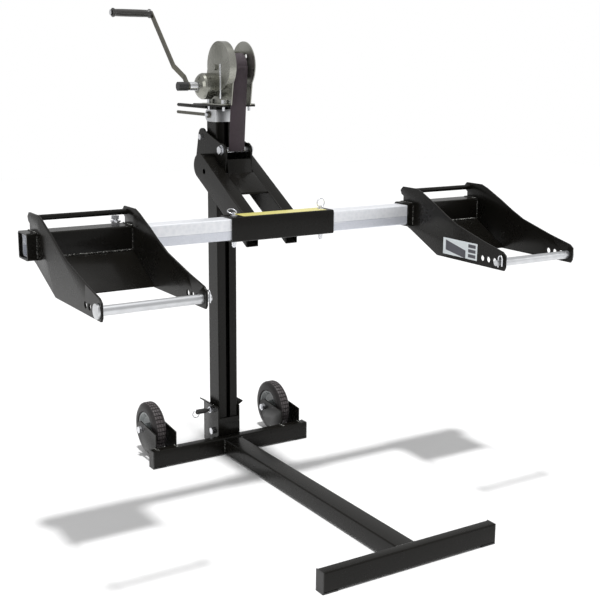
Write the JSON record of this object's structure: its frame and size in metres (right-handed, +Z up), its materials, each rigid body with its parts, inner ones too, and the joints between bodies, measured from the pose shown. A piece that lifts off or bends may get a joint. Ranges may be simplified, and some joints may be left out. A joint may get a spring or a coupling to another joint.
{
  "type": "lawn tractor lift",
  "caption": "Wheeled lift with a folding mast, strap winch, sliding carriage and telescoping cross tube carrying adjustable wheel cradles.",
  "frame": {"origin": "floor level, on the centre plane of the mast, at the middle of the depth", "axes": "+X along the cross tube, crank on the -X side; front (cradles, long leg) towards -Y; +Z up"},
  "size_m": [1.418, 1.178, 1.325],
  "materials": {
    "paint": "gloss black powder coat",
    "plastic": "moulded",
    "zinc": "bright zinc plate",
    "bar_zinc": "zinc plate",
    "galvanised": "galvanised",
    "winch": "dull zinc plate",
    "tyre": "solid rubber",
    "rim": "grey paint",
    "roller": "nylon",
    "grip": "matt",
    "webbing": "woven polyester"
  },
  "bodies": {
    "base": {"rear_bar": "paint", "centre_leg": "paint", "foot_bar": "paint", "end_plugs": "plastic", "fork_plates": "paint", "axle_bolts": "zinc", "lock_nuts": "zinc", "mast_socket": "paint", "pivot_bolt": "zinc", "lock_body": "zinc"},
    "wheel_left": {"tyre_left": "tyre", "rim_left": "rim"},
    "wheel_right": {"tyre_right": "tyre", "rim_right": "rim"},
    "plunger": {"lock_pin": "plastic"},
    "plunger_ring": {"lock_ring": "zinc"},
    "mast_body": {"mast": "paint", "top_plate": "paint", "rear_handle": "paint", "lever_saddle": "zinc", "winch_frame": "winch", "m8_bolts": "zinc", "gear_cover": "winch", "brake_housing": "winch", "strap": "webbing"},
    "lever": {"release_lever": "winch"},
    "winch_drum": {"drum": "winch", "strap_roll": "webbing", "drum_gear": "winch", "drum_axle": "zinc"},
    "crank": {"crank_shaft": "zinc", "crank_arm": "winch", "crank_bolts": "plastic"},
    "grip": {"crank_grip": "grip"},
    "carriage": {"carriage_plates": "paint", "lift_arms": "paint", "cross_web": "paint", "centre_tube": "paint", "strap_bolt": "zinc", "roller_bolts": "zinc", "inner_tube_left": "galvanised", "inner_tube_right": "galvanised"},
    "roller_rear": {"rear_roller": "roller"},
    "roller_front": {"front_roller": "roller"},
    "pin_left": {"pull_pin_left": "zinc"},
    "pin_right": {"pull_pin_right": "zinc"},
    "ring_left": {"pin_ring_left": "zinc"},
    "ring_right": {"pin_ring_right": "zinc"},
    "cradle_left": {"cradle_socket_left": "paint", "cradle_plates_left": "paint", "cradle_tray_left": "paint", "clamp_bolt_left": "zinc"},
    "cradle_right": {"cradle_socket_right": "paint", "cradle_plates_right": "paint", "cradle_tray_right": "paint", "clamp_bolt_right": "zinc"},
    "bar_left": {"wheel_bar_left": "bar_zinc"},
    "bar_right": {"wheel_bar_right": "bar_zinc"},
    "clip_left": {"bar_clip_left": "zinc"},
    "clip_right": {"bar_clip_right": "zinc"}
  },
  "joints": [
    {"name": "wheel_left_spin", "type": "hinge", "parent": "base", "child": "wheel_left", "pos_m": [-0.216, 0.435, 0.084], "axis": [1, 0, 0], "continuous": true},
    {"name": "wheel_right_spin", "type": "hinge", "parent": "base", "child": "wheel_right", "pos_m": [0.216, 0.435, 0.084], "axis": [1, 0, 0], "continuous": true},
    {"name": "plunger_slide", "type": "slide", "parent": "base", "child": "plunger", "axis": [1, 0, 0], "range_m": [0, 0.008]},
    {"name": "plunger_ring_swing", "type": "hinge", "parent": "plunger", "child": "plunger_ring", "pos_m": [-0.088, 0.373, 0.13], "axis": [0, 1, 0], "range_deg": [-25, 115]},
    {"name": "mast_fold", "type": "hinge", "parent": "base", "child": "mast_body", "pos_m": [0, 0.369, 0.062], "axis": [1, 0, 0], "range_deg": [-75, 0]},
    {"name": "lever_squeeze", "type": "hinge", "parent": "mast_body", "child": "lever", "pos_m": [-0.036, 0.381, 1.026], "axis": [1, 0, 0], "range_deg": [0, 2.5], "stiffness_Nm_per_rad": 6, "springref_deg": -8.59},
    {"name": "carriage_lift", "type": "slide", "parent": "mast_body", "child": "carriage", "axis": [0, 0, 1], "range_m": [-0.59, 0.02], "deforming": ["strap"]},
    {"name": "drum_spin", "type": "hinge", "parent": "mast_body", "child": "winch_drum", "pos_m": [0, 0.293, 1.165], "axis": [1, 0, 0], "range_deg": [-35, 912]},
    {"name": "crank_spin", "type": "hinge", "parent": "mast_body", "child": "crank", "pos_m": [0, 0.347, 1.108], "axis": [1, 0, 0], "range_deg": [-3323, 119]},
    {"name": "grip_spin", "type": "hinge", "parent": "crank", "child": "grip", "pos_m": [-0.2, 0.544, 1.312], "axis": [1, 0, 0], "continuous": true},
    {"name": "rear_roller_spin", "type": "hinge", "parent": "carriage", "child": "roller_rear", "pos_m": [0, 0.4154, 0.96], "axis": [1, 0, 0], "range_deg": [-2066, 74]},
    {"name": "front_roller_spin", "type": "hinge", "parent": "carriage", "child": "roller_front", "pos_m": [0, 0.3226, 0.868], "axis": [1, 0, 0], "range_deg": [-74, 2066]},
    {"name": "pin_left_pull", "type": "slide", "parent": "carriage", "child": "pin_left", "axis": [0, 0, 1], "range_m": [0, 0.092]},
    {"name": "ring_left_swing", "type": "hinge", "parent": "pin_left", "child": "ring_left", "pos_m": [-0.137, 0.043, 0.784], "axis": [1, 0, 0], "range_deg": [-20, 150]},
    {"name": "cradle_left_slide", "type": "slide", "parent": "carriage", "child": "cradle_left", "axis": [-1, 0, 0], "range_m": [-0.2, 0.06]},
    {"name": "bar_left_spin", "type": "hinge", "parent": "cradle_left", "child": "bar_left", "pos_m": [-0.56, -0.367, 0.666], "axis": [1, 0, 0], "continuous": true},
    {"name": "clip_left_pull", "type": "slide", "parent": "bar_left", "child": "clip_left", "axis": [0, 0, 1], "range_m": [0, 0.035]},
    {"name": "pin_right_pull", "type": "slide", "parent": "carriage", "child": "pin_right", "axis": [0, 0, 1], "range_m": [0, 0.092]},
    {"name": "ring_right_swing", "type": "hinge", "parent": "pin_right", "child": "ring_right", "pos_m": [0.137, 0.043, 0.784], "axis": [1, 0, 0], "range_deg": [-85, 85]},
    {"name": "cradle_right_slide", "type": "slide", "parent": "carriage", "child": "cradle_right", "axis": [1, 0, 0], "range_m": [-0.2, 0.06]},
    {"name": "bar_right_spin", "type": "hinge", "parent": "cradle_right", "child": "bar_right", "pos_m": [0.56, -0.367, 0.666], "axis": [1, 0, 0], "continuous": true},
    {"name": "clip_right_pull", "type": "slide", "parent": "bar_right", "child": "clip_right", "axis": [0, 0, 1], "range_m": [0, 0.035]}
  ],
  "couplings": [
    {"joint": "drum_spin", "follows": "carriage_lift", "rad_per_m": -26.846},
    {"joint": "crank_spin", "follows": "carriage_lift", "rad_per_m": 98.12},
    {"joint": "rear_roller_spin", "follows": "carriage_lift", "rad_per_m": 60.976},
    {"joint": "front_roller_spin", "follows": "carriage_lift", "rad_per_m": -60.976}
  ]
}
